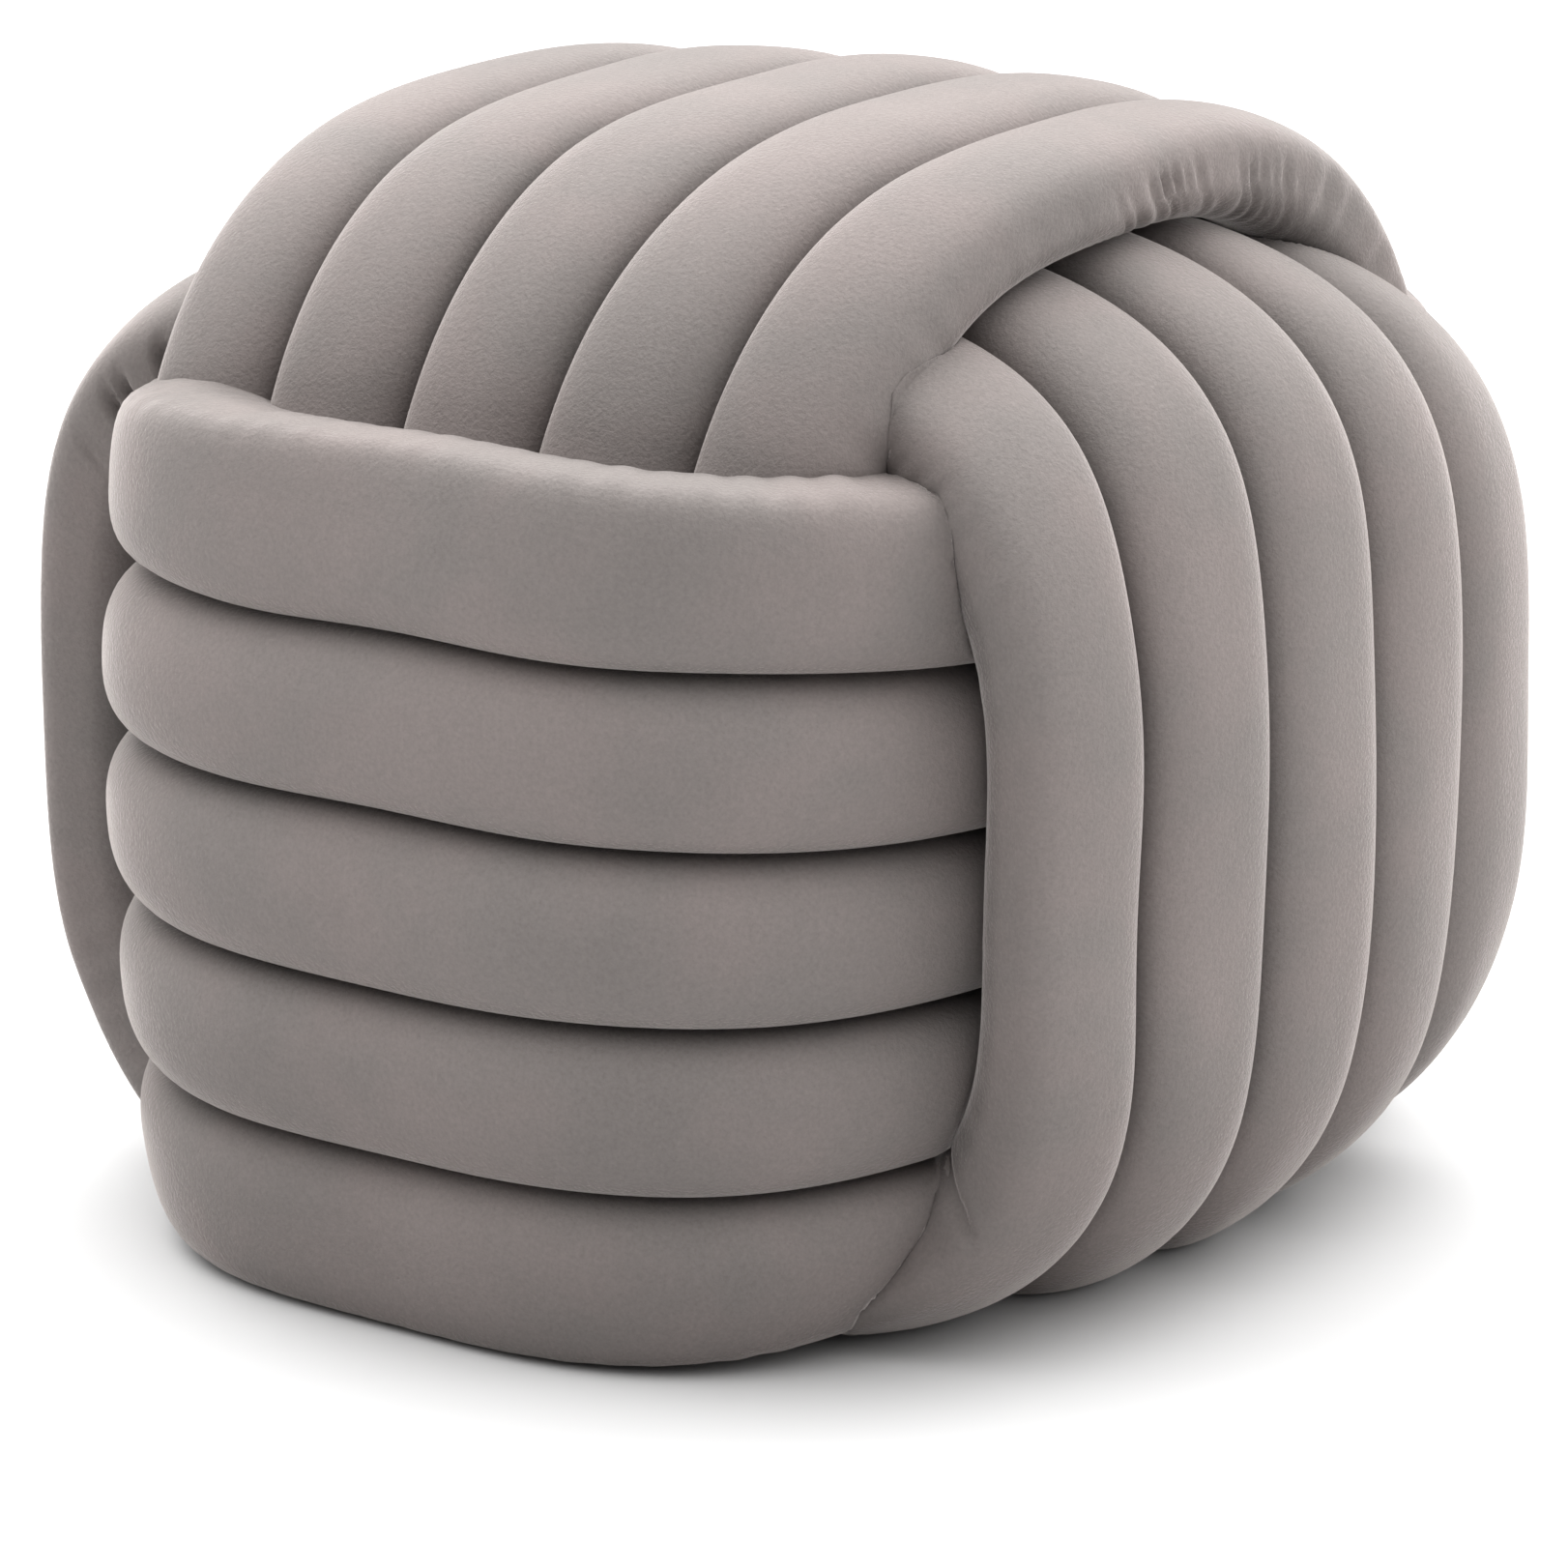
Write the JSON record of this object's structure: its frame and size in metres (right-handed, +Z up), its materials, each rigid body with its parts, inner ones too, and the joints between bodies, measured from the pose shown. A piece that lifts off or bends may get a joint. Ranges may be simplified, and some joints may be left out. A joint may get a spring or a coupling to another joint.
{
  "type": "pouf",
  "caption": "Soft square pouf of stuffed velvet tubes, woven in three bands that pass over and under each other like a knot.",
  "frame": {"origin": "on the floor, under the middle of the pouf", "axes": "+Z up, +X to the pouf's right, -Y to its front; the tubes of the top run along Y"},
  "size_m": [0.4954, 0.5218, 0.4179],
  "materials": {
    "velvet": "short-pile velvet, warm taupe grey, soft sheen"
  },
  "bodies": {
    "root": {"top_tube_1": "velvet", "top_tube_2": "velvet", "top_tube_3": "velvet", "top_tube_4": "velvet", "top_tube_5": "velvet", "right_tube_1": "velvet", "right_tube_2": "velvet", "right_tube_3": "velvet", "right_tube_4": "velvet", "right_tube_5": "velvet", "left_tube_1": "velvet", "left_tube_2": "velvet", "left_tube_3": "velvet", "left_tube_4": "velvet", "left_tube_5": "velvet", "front_tube_1": "velvet", "front_tube_2": "velvet", "front_tube_3": "velvet", "front_tube_4": "velvet", "front_tube_5": "velvet", "back_tube_1": "velvet", "back_tube_2": "velvet", "back_tube_3": "velvet", "back_tube_4": "velvet", "back_tube_5": "velvet", "base_tube_1": "velvet", "base_tube_2": "velvet", "base_tube_3": "velvet", "base_tube_4": "velvet", "base_tube_5": "velvet"}
  },
  "joints": []
}
